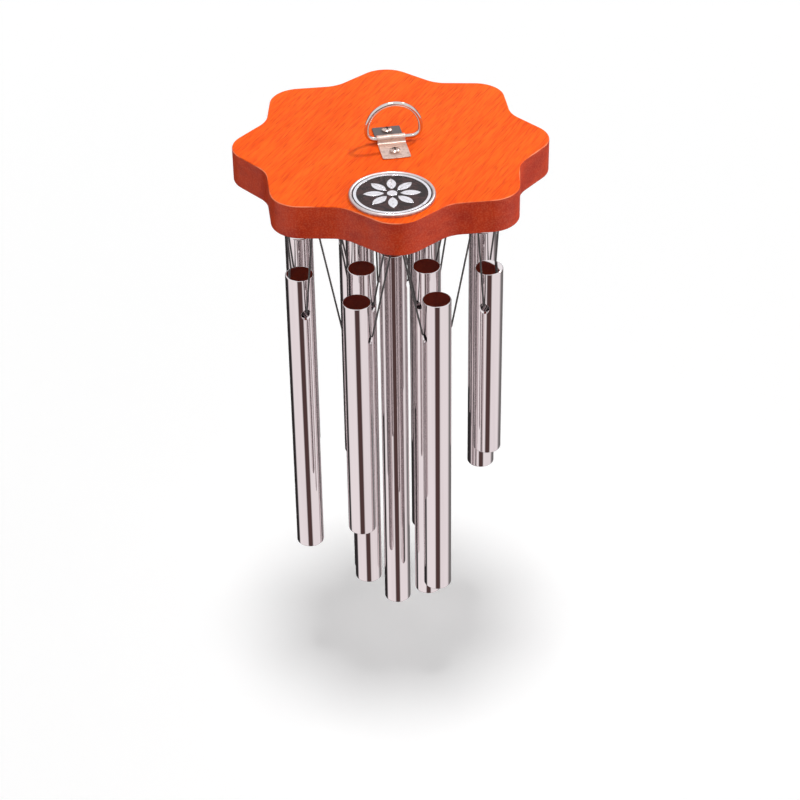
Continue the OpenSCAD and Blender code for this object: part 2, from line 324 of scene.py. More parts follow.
def setCamera():
    data = bpy.data.cameras.new("camera")
    data.sensor_width = camera["sensor"]
    data.lens = camera["lens"]
    data.shift_y = camera["shiftUp"]
    data.clip_start, data.clip_end = [distance * mm for distance in camera["clip"]]
    shot = addObject("camera", data)
    turn = rotation(camera["yaw"]) @ rotation(90 - camera["down"], "X") @ rotation(camera["roll"])
    shot.matrix_world = Matrix.Translation(Vector(camera["place"]) * mm) @ turn
    bpy.context.scene.camera = shot
    print("camera set")


setCamera()


def feed(tree, node, inputs):
    # Links every socket to the input it's for. Any other value becomes the input's own.
    for key, value in inputs.items():
        if isinstance(value, bpy.types.NodeSocket):
            tree.links.new(value, node.inputs[key])
        else:
            node.inputs[key].default_value = value


def addNode(tree, kind, inputs=None, **settings):
    node = tree.nodes.new("ShaderNode" + kind)
    for key, value in settings.items():
        setattr(node, key, value)
    feed(tree, node, inputs or {})
    return node


def newMaterial(name):
    material = bpy.data.materials.new(name)
    material.use_nodes = True
    tree = material.node_tree
    return material, tree, tree.nodes["Principled BSDF"], addNode(tree, "TexCoord")


def maths(tree, operation, a, b=0.0):
    return addNode(tree, "Math", {0: a, 1: b}, operation=operation).outputs[0]


def times(tree, a, b):
    return maths(tree, "MULTIPLY", a, b)


def rescale(tree, value, fromLow, fromHigh, low=0.0, high=1.0, kind="SMOOTHSTEP"):
    inputs = {"Value": value, "From Min": fromLow, "From Max": fromHigh, "To Min": low, "To Max": high}
    return addNode(tree, "MapRange", inputs, interpolation_type=kind).outputs["Result"]


def mixColours(tree, factor, a, b):
    return addNode(tree, "Mix", {0: factor, 6: a, 7: b}, data_type="RGBA").outputs[2]


def addNoise(tree, vector, scale, detail, roughness=0.5, warp=0.0):
    inputs = {"Vector": vector, "Scale": scale, "Detail": detail, "Roughness": roughness,
              "Distortion": warp}
    return addNode(tree, "TexNoise", inputs).outputs[0]


def split(tree, vector):
    return addNode(tree, "SeparateXYZ", {"Vector": vector}).outputs


def remap(tree, vector, turn=0.0, scale=(1, 1, 1)):
    # A vector scaled, then turned about Z
    inputs = {"Vector": vector, "Rotation": (0, 0, radians(turn)), "Scale": scale}
    return addNode(tree, "Mapping", inputs).outputs[0]


def addBump(tree, shader, height, strength, distance):
    inputs = {"Height": height, "Strength": strength, "Distance": distance * mm}
    feed(tree, shader, {"Normal": addNode(tree, "Bump", inputs).outputs["Normal"]})


def newGroup(name, values, results):
    # A node group with a vector and some numbers as its inputs, and numbers as its outputs
    group = bpy.data.node_groups.new(name, "ShaderNodeTree")
    group.interface.new_socket(name="Vector", in_out="INPUT", socket_type="NodeSocketVector")
    for label, value in values.items():
        socket = group.interface.new_socket(name=label, in_out="INPUT", socket_type="NodeSocketFloat")
        socket.default_value = value
    for label in results:
        group.interface.new_socket(name=label, in_out="OUTPUT", socket_type="NodeSocketFloat")
    return group, group.nodes.new("NodeGroupInput").outputs, group.nodes.new("NodeGroupOutput")


# What every metal shares: polish marks and wear on its edges
polish = {
    "hairlineFade": (0.35, 0.75),
    "smudgeFade": (0.42, 0.72),
    "hairlineShare": 0.45,
    "smudgeShare": 0.55,
    "smudgeTint": 0.35,
    "hairlineBump": 0.25,
    "breakupFade": (0.35, 0.6),
}


# Polish marks: faint hairlines along one direction and softer smudges
def buildPolishMarks():
    values = {"Hairline Scale": 900.0, "Smudge Scale": 60.0, "Smooth": 0.05, "Rough": 0.12}
    group, given, out = newGroup("Polish Marks", values, ("Roughness", "Height", "Smudge"))
    hair = addNoise(group, given["Vector"], given["Hairline Scale"], 3)
    smudge = addNoise(group, given["Vector"], given["Smudge Scale"], 4, 0.6)
    lines = rescale(group, hair, *polish["hairlineFade"])
    patches = rescale(group, smudge, *polish["smudgeFade"])
    both = maths(group, "ADD", times(group, lines, polish["hairlineShare"]),
                 times(group, patches, polish["smudgeShare"]))
    spread = maths(group, "SUBTRACT", given["Rough"], given["Smooth"])
    rough = maths(group, "ADD", times(group, both, spread), given["Smooth"])
    feed(group, out, {"Roughness": rough, "Height": lines, "Smudge": patches})
    return group


# Edge wear: a mask that is 1 on convex edges, broken up by noise
def buildEdgeWear():
    values = {"Breakup Scale": 700.0, "Start": 0.52, "Full": 0.62}
    group, given, out = newGroup("Edge Wear", values, ("Mask",))
    shape = addNode(group, "NewGeometry")
    edge = rescale(group, shape.outputs["Pointiness"], given["Start"], given["Full"])
    noise = addNoise(group, given["Vector"], given["Breakup Scale"], 3)
    broken = rescale(group, noise, *polish["breakupFade"])
    feed(group, out, {"Mask": times(group, edge, broken)})
    return group


polishMarks = buildPolishMarks()
edgeWear = buildEdgeWear()


def addMarks(tree, coords, metal):
    # The two groups with one metal's values: the marks' outputs and the wear's mask
    spot = coords.outputs["Object"]
    stretched = remap(tree, spot, scale=metal.get("along", (1, 1, 1)))
    smooth, rough = metal["roughness"]
    values = {"Vector": stretched, "Hairline Scale": metal["hairlines"],
              "Smudge Scale": metal["smudges"], "Smooth": smooth, "Rough": rough}
    marks = addNode(tree, "Group", values, node_tree=polishMarks)
    wear = addNode(tree, "Group", {"Vector": spot}, node_tree=edgeWear)
    return marks.outputs, wear.outputs["Mask"]


def metalMaterial(name, metal):
    material, tree, shader, coords = newMaterial(name)
    marks, wear = addMarks(tree, coords, metal)
    tint = times(tree, marks["Smudge"], polish["smudgeTint"])
    tinted = mixColours(tree, tint, metal["colour"], metal["worn"])
    feed(tree, shader, {"Base Color": mixColours(tree, wear, tinted, metal["worn"]),
                        "Roughness": marks["Roughness"], "Metallic": 1.0})
    if "bump" in metal:
        addBump(tree, shader, marks["Height"], polish["hairlineBump"], metal["bump"])
    return material


# Wooden head: a board sawn to eight lobes, edges eased, stained and lacquered
head = {
    "lobes": 8,
    "valleyDepth": 10.6,
    "lobeRadius": 15.0,
    "valleyRadius": 16.0,
    "topEase": 0.6,
    "lowEase": 0.9,
    "lobeSteps": 22,
    "valleySteps": 12,
    "grainTurn": 62.0,     # direction of the grain on top, from +X
    "topColour": rgb(240, 99, 19),
    "topDeep": rgb(218, 66, 14),
    "poreColour": rgb(196, 56, 13),
    # Paler colour of the sides' specks, and of a painted highlight along the top edge
    "speckAndHighlightColour": rgb(250, 148, 108),
    # The sides and underside are darker and redder than the top: partly a deeper stain, partly painted
    # shade for the light they lose from above
    "sideStainAndShade": rgb(208, 61, 18),
    "sideDeepStainAndShade": rgb(180, 41, 10),
    "roughness": (0.36, 0.5),
    "topShine": 0.045,
    "sideShine": 0.42,
    # Each layer is noise: its stretch along the grain and down, scale, detail, roughness and warp, and
    # the two values that it fades in between
    "layers": {
        "ribbon": (0.16, 0.6, 60, 4, 0.55, 0.6, 0.35, 0.68),
        "figure": (0.07, 0.8, 1000, 3, 0.6, 0, 0.38, 0.66),
        "pores": (0.07, 0.35, 1500, 2, 0.5, 0, 0.48, 0.66),
        "patches": (0.5, 1, 230, 2, 0.5, 0, 0.3, 0.56),
        "blotches": (0.5, 1.4, 75, 5, 0.6, 0, 0.35, 0.7),
        "specks": (1, 1, 1300, 2, 0.5, 0, 0.45, 0.62),
        "edgeHighlight": (1, 1, 60, 2, 0.5, 0, 0.4, 0.6),
    },
    "weights": {"ribbon": 0.36, "figure": 0.65, "pores": 0.52, "sidePores": 0.3, "specks": 0.12,
                "edgeHighlight": 0.7},
    # By the upward part of a face's normal
    "sideFade": (0.85, 0.15),
    "edgeFadeIn": (0.1, 0.45),
    "edgeFadeOut": (0.98, 0.85),
    "figureRelief": 0.25,
    "grainBump": (0.3, 0.08),
}


def woodMaterial():
    material, tree, shader, coords = newMaterial("stained mahogany")
    turned = remap(tree, coords.outputs["Object"], -head["grainTurn"])

    def layer(name):
        along, down, scale, detail, roughness, warp, low, high = head["layers"][name]
        stretched = remap(tree, turned, scale=(along, 1, down))
        return rescale(tree, addNoise(tree, stretched, scale, detail, roughness, warp), low, high)

    def tint(base, mask, weight, colour):
        return mixColours(tree, times(tree, mask, head["weights"][weight]), base, colour)

    ribbonMask = layer("ribbon")
    figure = layer("figure")
    pores = times(tree, layer("pores"), layer("patches"))
    facing = split(tree, coords.outputs["Normal"])["Z"]
    sideMask = rescale(tree, facing, *head["sideFade"])
    top = tint(head["topColour"], ribbonMask, "ribbon", head["topDeep"])
    top = tint(top, figure, "figure", head["topDeep"])
    top = tint(top, pores, "pores", head["poreColour"])
    # The side colours carry painted shade as well as stain, and the side mask also gives them to the
    # underside
    side = mixColours(tree, layer("blotches"), head["sideStainAndShade"], head["sideDeepStainAndShade"])
    side = tint(side, pores, "sidePores", head["sideDeepStainAndShade"])
    side = tint(side, layer("specks"), "specks", head["speckAndHighlightColour"])
    base = mixColours(tree, sideMask, top, side)
    # A painted highlight, pale and broken up by noise, along the eased top edge
    upper = times(tree, rescale(tree, facing, *head["edgeFadeIn"]),
                  rescale(tree, facing, *head["edgeFadeOut"]))
    base = tint(base, times(tree, upper, layer("edgeHighlight")), "edgeHighlight", head["speckAndHighlightColour"])
    shine = rescale(tree, sideMask, 0, 1, head["topShine"], head["sideShine"], "LINEAR")
    rough = rescale(tree, ribbonMask, 0, 1, *head["roughness"], "LINEAR")
    feed(tree, shader, {"Base Color": base, "Roughness": rough, "Specular IOR Level": shine})
    grain = maths(tree, "SUBTRACT", times(tree, figure, head["figureRelief"]), pores)
    addBump(tree, shader, grain, *head["grainBump"])
    return material


def headOutline(inset):
    # Points and outward directions round the head, set in from its true outline
    tip = (headHigh.x - headLow.x) / mm / 2
    lobeTurn = 360 / head["lobes"]
    lobeCentre = tip - head["lobeRadius"]
    valleyCentre = tip - head["valleyDepth"] + head["valleyRadius"]
    gapX = valleyCentre * sin(radians(lobeTurn / 2))
    gapY = valleyCentre * cos(radians(lobeTurn / 2)) - lobeCentre
    reach = head["lobeRadius"] + head["valleyRadius"]
    flank = degrees(atan2(gapX, gapY) - acos(reach / hypot(gapX, gapY)))
    points = []
    for i in range(head["lobes"]):
        lobe = i * lobeTurn
        for k in range(head["lobeSteps"] + 1):
            out = toward(lobe - flank + 2 * flank * k / head["lobeSteps"])
            points.append((toward(lobe) * lobeCentre + out * (head["lobeRadius"] - inset), out))
        for k in range(head["valleySteps"] + 1):
            out = toward(lobe + flank + (lobeTurn - 2 * flank) * k / head["valleySteps"])
            centre = toward(lobe + lobeTurn / 2) * valleyCentre
            points.append((centre - out * (head["valleyRadius"] + inset), out))
    return points


underHead = placed(headCentre.x, headCentre.y, headLow.z)


def makeHead(material):
    board = easedPlate(headOutline, (headHigh.z - headLow.z) / mm, head["lowEase"], head["topEase"])
    piece = makePiece("chime_head", board, material, "head", underHead)
    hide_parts("wooden_head")
    print("head made")


makeHead(woodMaterial())


# Hanging ring: a D bent from round wire, its straight bar held under the strap
ring = {
    "width": 28.4,
    "wire": 2.2,
    "sides": 40,
    "cornerRadius": 4.2,
    "side": 0.8,
    "turn": 8.0,
    "barUp": 2.2,         # height of its bar above the head
    "barSteps": 4,        # in half of the bar
    "cornerSteps": 16,
    "archSteps": 72,
    "metal": {"colour": rgb(224, 215, 211), "worn": rgb(164, 148, 142),
              "roughness": (0.06, 0.16), "hairlines": 1600, "smudges": 180, "bump": 0.01},
}


def makeRing(material):
    half = (ring["width"] - ring["wire"]) / 2
    corner = ring["cornerRadius"]
    barHalf = half - corner
    archUp = corner + ring["side"]
    steps = ring["barSteps"]
    path = linked([
        [(x * barHalf / steps, 0, 0) for x in range(-steps, steps + 1)],
        arc((barHalf, 0, corner), corner, -90, 0, ring["cornerSteps"]),
        arc((0, 0, archUp), half, 0, 180, ring["archSteps"]),
        arc((-barHalf, 0, corner), corner, 180, 270, ring["cornerSteps"]),
    ])[:-1]
    barDown = archUp + half - ring["wire"] / 2
    wire = sweep(path, ring["wire"] / 2, ring["sides"], closed=True)
    place = placed(0, 0, -barDown * mm, ring["turn"])
    piece = makePiece("hanging_ring", wire, material, "hook_ring", place)
    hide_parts("hang_ring")
    print("hanging ring made")


makeRing(metalMaterial("nickel wire", ring["metal"]))


# Strap: a strip of plated sheet bent over the ring's bar, and its two screws
strap = {
    "width": 13.6,
    "frontEnd": -16.5,    # from the ring's bar
    "rearEnd": 14.5,
    "sheet": 0.6,
    "fit": 0.08,          # between the ring's bar and the strap
    "bend": 0.96,         # radius of the hollow bends beside the hump
    "edge": 0.14,
    "corner": 0.8,
    "bendSteps": 10,
    "humpSteps": 24,
    "metal": {"colour": rgb(226, 200, 188), "worn": rgb(196, 168, 156),
              "roughness": (0.28, 0.4), "hairlines": 1900, "smudges": 520},
    # Painted shade on the tab behind the ring, fading in over this stretch behind the ring's bar
    "rearTabShade": rgb(104, 98, 98),
    "rearShadeFrom": (2.2, 3.4),
    "rearTabRough": 0.15,
    "smudgeBump": (0.12, 0.05),
}
screw = {
    "pitch": 20.6,
    "headHeight": 1.7,
    "crownRadius": 4.4,
    "recessReach": 1.5,   # from the screw's axis
    "recessRim": 0.06,    # how far below the crown the recess starts to darken
    "metal": {"colour": rgb(216, 192, 182), "worn": rgb(176, 152, 144),
              "roughness": (0.08, 0.16), "hairlines": 1900, "smudges": 520},
    # Painted shade in the cross recesses
    "recessShade": rgb(84, 66, 62),
}
# The frame of the ring's bar: on the head, turned with the strap
onStrap = placed(headCentre.x, headCentre.y, headHigh.z + ring["barUp"] * mm, ring["turn"])


def sheetMaterial():
    material, tree, shader, coords = newMaterial("nickel sheet")
    metal = strap["metal"]
    marks, wear = addMarks(tree, coords, metal)
    tinted = mixColours(tree, marks["Smudge"], metal["colour"], metal["worn"])
    # Painted shade: the tab behind the ring is darkened, and it is made rougher
    low, high = [headCentre.y + along * mm for along in strap["rearShadeFrom"]]
    behind = rescale(tree, split(tree, coords.outputs["Object"])["Y"], low, high)
    shadedTab = mixColours(tree, behind, tinted, strap["rearTabShade"])
    rough = maths(tree, "ADD", marks["Roughness"], times(tree, behind, strap["rearTabRough"]))
    feed(tree, shader, {"Base Color": mixColours(tree, wear, shadedTab, metal["colour"]),
                        "Roughness": rough, "Metallic": 1.0})
    addBump(tree, shader, marks["Smudge"], *strap["smudgeBump"])
    return material


def makeStrap(material):
    sheet, bend = strap["sheet"], strap["bend"]
    outside = ring["wire"] / 2 + strap["fit"] + sheet
    tabZ = sheet / 2 - ring["barUp"]
    bendZ = tabZ + sheet / 2 + bend
    bendY = outside + bend
    path = linked([
        [(0, strap["frontEnd"], tabZ)],
        arc((0, -bendY, bendZ), bend + sheet / 2, -90, 0, strap["bendSteps"], "YZ"),
        arc((0, 0, 0), outside - sheet / 2, 180, 0, strap["humpSteps"], "YZ"),
        arc((0, bendY, bendZ), bend + sheet / 2, 180, 270, strap["bendSteps"], "YZ"),
        [(0, strap["rearEnd"], tabZ)],
    ])
    strip = ribbon(path, strap["width"], sheet, strap["edge"], strap["corner"])
    piece = makePiece("bent_strap", strip, material, "head", onStrap)
    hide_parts("ring_strap")


def screwMaterial():
    # As the strap's metal, with painted shade in the cross recesses
    material = metalMaterial("nickel screw", screw["metal"])
    tree = material.node_tree
    shader = tree.nodes["Principled BSDF"]
    coords = addNode(tree, "TexCoord")
    moved = addNode(tree, "VectorMath", {0: coords.outputs["Object"], 1: onStrap.translation},
                    operation="SUBTRACT")
    place = split(tree, remap(tree, moved.outputs[0], -ring["turn"]))
    along = maths(tree, "SUBTRACT", maths(tree, "ABSOLUTE", place["Y"]), screw["pitch"] / 2 * mm)
    across = maths(tree, "POWER", place["X"], 2.0)
    out = maths(tree, "SQRT", maths(tree, "ADD", across, maths(tree, "POWER", along, 2.0)))
    inside = maths(tree, "LESS_THAN", out, screw["recessReach"] * mm)
    crown = (strap["sheet"] - ring["barUp"] + screw["headHeight"]) * mm
    fall = maths(tree, "DIVIDE", maths(tree, "POWER", out, 2.0), 2 * screw["crownRadius"] * mm)
    rim = maths(tree, "SUBTRACT", crown - screw["recessRim"] * mm, fall)
    # Painted shade: dark, not metallic and rough inside the recesses
    inRecessShade = times(tree, inside, maths(tree, "LESS_THAN", place["Z"], rim))
    base, rough = [shader.inputs[key].links[0].from_socket for key in ("Base Color", "Roughness")]
    feed(tree, shader, {"Base Color": mixColours(tree, inRecessShade, base, screw["recessShade"]),
                        "Metallic": maths(tree, "SUBTRACT", 1.0, inRecessShade),
                        "Roughness": maths(tree, "MAXIMUM", rough, inRecessShade)})
    return material


def finishNode(node, material):
    # A CAD node keeps its shape and gets a finish
    slots = frame["nodes"][node].data.materials
    slots.clear()
    slots.append(material)


makeStrap(sheetMaterial())
finishNode("strap_screws", screwMaterial())
print("strap made")


# Badge: plated rim with an outer bead and a flat inner ring, black enamel and a rosette of petals
badge = {
    "radius": 20.2,
    "out": 50.8,          # from the head's centre to the badge's
    "side": -1.6,
    "beadInside": 18.4,
    "stepOutside": 18.0,
    "stepInside": 16.6,
    "baseHeight": 0.6,
    "faceHeight": 1.1,
    "faceFit": 0.04,      # between the enamel and the flat ring
    "faceCrown": ((1, 0.1), (0.97, 0.04), (0.6, 0), (0.3, 0)),    # share of its radius, drop there
    "stepHeight": 1.3,
    "beadHeight": 1.7,
    "petals": 8,
    "petalMiddle": 8.5,   # from the badge's centre
    "petalLength": 9.5,
    "petalWidth": 4.4,
    "middleRadius": 2.4,
    "reliefHeight": 1.4,
    "reliefEase": 0.12,
    "reliefSunk": 0.15,   # into the enamel
    "footEase": 0.02,
    "rimSides": 128,
    "faceSides": 96,
    "middleSides": 48,
    "arcSteps": 12,
    "metal": {"colour": rgb(242, 240, 246), "worn": rgb(222, 218, 222),
              "roughness": (0.2, 0.32), "hairlines": 1800, "smudges": 200},
    "beadMetal": {"colour": rgb(208, 196, 196), "worn": rgb(172, 157, 156),
                  "roughness": (0.34, 0.42), "hairlines": 1800, "smudges": 260},
    "enamel": rgb(28, 17, 18),
    "enamelCloud": rgb(62, 40, 40),
    "enamelRough": (0.2, 0.4),
    "enamelShine": 0.2,
    "enamelBump": (0.2, 0.15),
    "cloudNoise": (190, 6, 0.5, 1.2),    # scale, detail, roughness, warp
    "cloudFade": (0.35, 0.7),
}


def enamelMaterial():
    material, tree, shader, coords = newMaterial("black enamel")
    cloud = addNoise(tree, coords.outputs["Object"], *badge["cloudNoise"])
    soft = rescale(tree, cloud, *badge["cloudFade"])
    feed(tree, shader, {"Base Color": mixColours(tree, soft, badge["enamel"], badge["enamelCloud"]),
                        "Roughness": rescale(tree, soft, 0, 1, *badge["enamelRough"]),
                        "Specular IOR Level": badge["enamelShine"]})
    addBump(tree, shader, cloud, *badge["enamelBump"])
    return material


def badgeRim():
    # The rim's section from its underside round the bead, down the groove and over the flat ring
    radius, inner, outer = badge["radius"], badge["stepInside"], badge["stepOutside"]
    bead = (radius - badge["beadInside"]) / 2
    ease, groove = badge["reliefEase"], badge["baseHeight"]
    stepZ = badge["stepHeight"] - ease
    profile = [(0, 0, 0, -1), (radius * 0.5, 0, 0, -1), (radius, 0, 0, -1), (radius, 0, 1, 0)]
    profile += arcProfile(radius - bead, badge["beadHeight"] - bead, bead, 0, 180, badge["arcSteps"])
    profile += [(badge["beadInside"], groove, -1, 0), (badge["beadInside"], groove, 0, 1),
                (outer, groove, 0, 1), (outer, groove, 1, 0)]
    profile += arcProfile(outer - ease, stepZ, ease, 0, 90)
    profile += arcProfile(inner + ease, stepZ, ease, 90, 180)
    profile += [(inner, groove, -1, 0), (inner, groove, 0, 1), (inner * 0.5, groove, 0, 1),
                (0, groove, 0, 1)]
    return lathe(profile, badge["rimSides"])


def badgeFace():
    low, high, crown = badge["baseHeight"], badge["faceHeight"], badge["faceCrown"]
    edge = badge["stepInside"] - badge["faceFit"]
    profile = [(0, low, 0, -1), (edge, low, 0, -1), (edge, low, 1, 0), (edge, high - crown[0][1], 1, 0)]
    profile += [(edge * share, high - drop, 0, 1) for share, drop in crown]
    return lathe(profile + [(0, high, 0, 1)], badge["faceSides"])


def petalOutline(inset):
    # Two arcs that meet in points, along Y
    length, width = badge["petalLength"], badge["petalWidth"]
    gap = (length ** 2 - width ** 2) / (4 * width)
    radius = gap + width / 2 - inset
    reach = degrees(acos(gap / radius))
    points = []
    for side in (1, -1):
        for turn in turnsBetween(-reach, reach, badge["arcSteps"]):
            out = Vector((side * cos(turn), side * sin(turn), 0))
            points.append((out * radius - Vector((side * gap, 0, 0)), out))
    return points


def middleOutline(inset):
    points = []
    for k in range(badge["middleSides"]):
        out = toward(360 * k / badge["middleSides"])
        points.append((out * (badge["middleRadius"] - inset), out))
    return points


def makeRosette():
    sunk = badge["faceHeight"] - badge["reliefSunk"]
    sizes = (badge["reliefHeight"] - sunk, badge["footEase"], badge["reliefEase"])
    parts = [movePart(easedPlate(middleOutline, *sizes), placed(0, 0, sunk))]
    petal = easedPlate(petalOutline, *sizes)
    for i in range(badge["petals"]):
        outward = placed(0, badge["petalMiddle"], sunk)
        parts.append(movePart(petal, rotation(360 * i / badge["petals"]) @ outward))
    return joinParts(parts)


def finishRim(rim, centre, bead, groove):
    # The bead and the groove inside it get finishes of their own, but not the underside
    backHeight, slack = 0.1, 0.01
    rim.data.materials.append(bead)
    rim.data.materials.append(groove)
    for face in rim.data.polygons:
        out = (face.center - centre).xy.length / mm
        if face.center.z < centre.z + backHeight * mm:
            continue
        if out > badge["beadInside"] - slack:
            face.material_index = 1
        elif out > badge["stepOutside"] - slack:
            face.material_index = 2


def makeBadge(metal, bead, enamel):
    place = placed(headCentre.x + badge["side"] * mm, headCentre.y - badge["out"] * mm, headHigh.z)
    rim = makePiece("badge_plating", badgeRim(), metal, "head", place)
    finishRim(rim, place.translation, bead, enamel)
    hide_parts("badge_rim")
    face = makePiece("badge_enamel", badgeFace(), enamel, "head", place)
    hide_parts("badge_face")
    rosette = makePiece("badge_petals", makeRosette(), metal, "head", place)
    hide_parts("badge_rosette")
    print("badge made")


plating = metalMaterial("badge plating", badge["metal"])
makeBadge(plating, metalMaterial("badge bead", badge["beadMetal"]), enamelMaterial())


# Screw eyes under the head, all of one size
eye = {
    "wire": 1.2,
    "inside": 3.4,
    "neck": 1.0,
    "metal": {"colour": rgb(206, 202, 190), "worn": rgb(160, 154, 140),
              "roughness": (0.22, 0.42), "hairlines": 1500, "smudges": 240, "bump": 0.02},
}
zincWire = metalMaterial("zinc wire", eye["metal"])
for node in ("outer_eyes", "inner_eyes", "centre_eyes"):
    finishNode(node, zincWire)
print("screw eyes finished")


# Bars: solid rod, ends faced and polished, one cross hole near the top
bar = {
    "diameter": 14.0,
    "sides": 144,
    "edge": 0.6,
    "holeDown": 20.0,
    "holeRadius": 2.2,
    "holeBevel": 0.8,
    "holeEdge": 0.07,       # rounding of the bevel's own edges
    "reachRounds": 12,      # in which the bevel's reach settles
    "windowTurn": 35.0,     # half width of the finer mesh round a hole's mouth
    "windowHeight": 4.4,
    "windowRows": 12,
    "windowRings": 7,       # from the window's edge to the bevel
    "bevelRings": 4,
    "metal": {"colour": rgb(239, 232, 233), "worn": rgb(224, 215, 217),
              "roughness": (0.02, 0.035), "hairlines": 1500, "smudges": 220, "along": (1, 1, 0.03)},
}


def mouthReach(turn, depth):
    # How far a hole's bevel reaches from the hole's axis, in the direction turn, where it has gone
    # depth below the bar's surface
    radius, hole = bar["diameter"] / 2, bar["holeRadius"]
    reach = hole
    for _ in range(bar["reachRounds"]):
        surface = sqrt(radius ** 2 - (reach * cos(turn)) ** 2)
        reach = max(hole, hole + bar["holeBevel"] - (radius - surface) - depth)
    return reach


def windowEdge(columns, rows):
    # (column, row) of the points round a window's edge, from its lower left corner
    return ([(k, 0) for k in range(columns)] + [(columns, k) for k in range(rows)]
            + [(columns - k, rows) for k in range(columns)] + [(0, rows - k) for k in range(rows)])


def holeMouth(radius, columns, rows, side):
    # The patch round a hole's mouth, from just inside the square window over the bevel to the hole's
    # wall. Returns rings of points and normals, outermost first.
    half, height = radians(bar["windowTurn"]), bar["windowHeight"]
    corners = [(radius * sin(half * (2 * column / columns - 1)), height * (2 * row / rows - 1))
               for column, row in windowEdge(columns, rows)]
    turns = [atan2(z, y) for y, z in corners]

    def surfaceRing(share):
        points = []
        for (cornerY, cornerZ), turn in zip(corners, turns):
            rim = mouthReach(turn, 0) + bar["holeEdge"]
            y = cornerY + (rim * cos(turn) - cornerY) * share
            z = cornerZ + (rim * sin(turn) - cornerZ) * share
            x = sqrt(radius * radius - y * y)
            points.append(((side * x, side * y, z), Vector((side * x, side * y, 0)) / radius))
        return points

    def innerRing(depth, slope):
        # slope is 1 on the bevel and 0 on the wall
        points = []
        for turn in turns:
            reach = mouthReach(turn, depth)
            y, z = reach * cos(turn), reach * sin(turn)
            x = radius - bar["holeBevel"] + reach - bar["holeRadius"]
            normal = Vector((side * slope, -side * cos(turn), -sin(turn)))
            points.append(((side * x, side * y, z), normal.normalized()))
        return points

    rings, bevel = bar["windowRings"], bar["bevelRings"]
    top, foot = bar["holeEdge"], bar["holeBevel"]
    return ([surfaceRing(k / rings) for k in range(1, rings + 1)]
            + [innerRing(top + (foot - top) * k / bevel, 1) for k in range(bevel + 1)]
            + [innerRing(foot * 2, 0)])


def barPart(length):
    # A bar with its top at height 0 and its cross hole along X
    radius, sides, edge, rows = bar["diameter"] / 2, bar["sides"], bar["edge"], bar["windowRows"]
    columns = round(2 * bar["windowTurn"] / 360 * sides)
    halfColumns = columns // 2
    holeZ = -bar["holeDown"]
    verts, normals, faces = [], [], []

    def addPoints(points, directions):
        start = len(verts)
        verts.extend(points)
        normals.extend(directions)
        return range(start, len(verts))

    def addRows(profile):
        return [addPoints(*turnedRing(*row, sides)) for row in profile]

    # The bottom's flat and rounded edge, the window's rows, and the top's rounded edge and flat
    bottom = addRows([(radius * 0.5, -length, 0, -1)]
                     + arcProfile(radius - edge, edge - length, edge, -90, 0))
    heights = [holeZ + bar["windowHeight"] * (-1 + 2 * k / rows) for k in range(rows + 1)]
    window = addRows([(radius, height, 1, 0) for height in heights])
    top = addRows([(radius, -2 * edge, 1, 0)] + arcProfile(radius - edge, -edge, edge, 0, 90)
                  + [(radius * 0.5, 0, 0, 1)])
    right = {k % sides for k in range(-halfColumns, halfColumns)}
    mouths = right | {(k + sides // 2) % sides for k in right}
    rings = bottom + window + top
    for low, high in zip(rings, rings[1:]):
        faces += joinRings(low, high, mouths if low in window[:-1] else ())
    for ringEnd, z, up in ((bottom[0], -length, -1), (top[-1], 0, 1)):
        middle = addPoints([(0, 0, z)], [(0, 0, up)])
        faces += closeRing(middle[0], ringEnd, up > 0)
    # The two mouths
    ends = []
    for side in (1, -1):
        first = (0 if side > 0 else sides // 2) - halfColumns
        outer = [window[row][(first + column) % sides] for column, row in windowEdge(columns, rows)]
        for mouthRing in holeMouth(radius, columns, rows, side):
            points, directions = zip(*mouthRing)
            inner = addPoints([(x, y, z + holeZ) for x, y, z in points], directions)
            faces += joinRings(outer, inner)
            outer = inner
        ends.append(outer)
    # The hole's wall: each point inside one mouth joins the point straight across from it
    near, far = ends
    across = [min(far, key=lambda j: dist(verts[i][1:], verts[j][1:])) for i in near]
    return verts, faces + joinRings(near, across), normals


barMetal = metalMaterial("polished bar", bar["metal"])


def makeBar(node, turn):
    low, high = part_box(node)
    centre = (low + high) / 2
    place = placed(centre.x, centre.y, high.z, turn)
    rod = barPart((high.z - low.z) / mm)
    piece = makePiece("polished_" + node, rod, barMetal, bodyOf(node), place)
    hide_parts(node)


# Cords: three-ply, from an eye down to the cross hole, through it and up to the next eye
cord = {
    "width": 1.0,
    "sides": 12,
    "rest": 0.05,         # clearance over an eye's wire and under a hole's top
    "turnRoom": 0.3,
    "elbow": 0.9,
    "elbowSteps": 10,
    "plies": 3,
    "lay": 3.4,           # length of one full twist
    "groove": 0.2,
    "step": 0.3,
    "holeDrop": 63.1,     # from the head's underside to the cross holes' axis
    "knotOver": 0.6,      # how much wider a knot is than its eye's opening
    "knotTurns": 3,
    "knotSteps": 20,      # in one turn
    "knotPitch": 1.05,    # the coil's radius and pitch, in widths of the cord
    "knotCore": (-2.2, 2.0),    # the straight end inside the coil, from the knot's middle
    "colour": rgb(62, 58, 58),
    "lint": rgb(134, 126, 126),
    "fibreNoise": (3800, 2),
    "lintFade": (0.5, 0.75),
    "roughness": (0.3, 0.7, 0.45, 0.75),    # from and to in the noise, then in the roughness
    "fibreBump": (0.4, 0.08),
}


def cordMaterial():
    material, tree, shader, coords = newMaterial("black cord")
    fibre = addNoise(tree, coords.outputs["Object"], *cord["fibreNoise"])
    lint = rescale(tree, fibre, *cord["lintFade"])
    feed(tree, shader, {"Base Color": mixColours(tree, lint, cord["colour"], cord["lint"]),
                        "Roughness": rescale(tree, fibre, *cord["roughness"]),
                        "Sheen Weight": 0.25, "Sheen Roughness": 0.4})
    addBump(tree, shader, fibre, *cord["fibreBump"])
    return material


def plySection(angle, along):
    twist = 2 * pi * along / cord["lay"]
    return 1 - cord["groove"] * (1 - cos(cord["plies"] * (angle - twist))) / 2


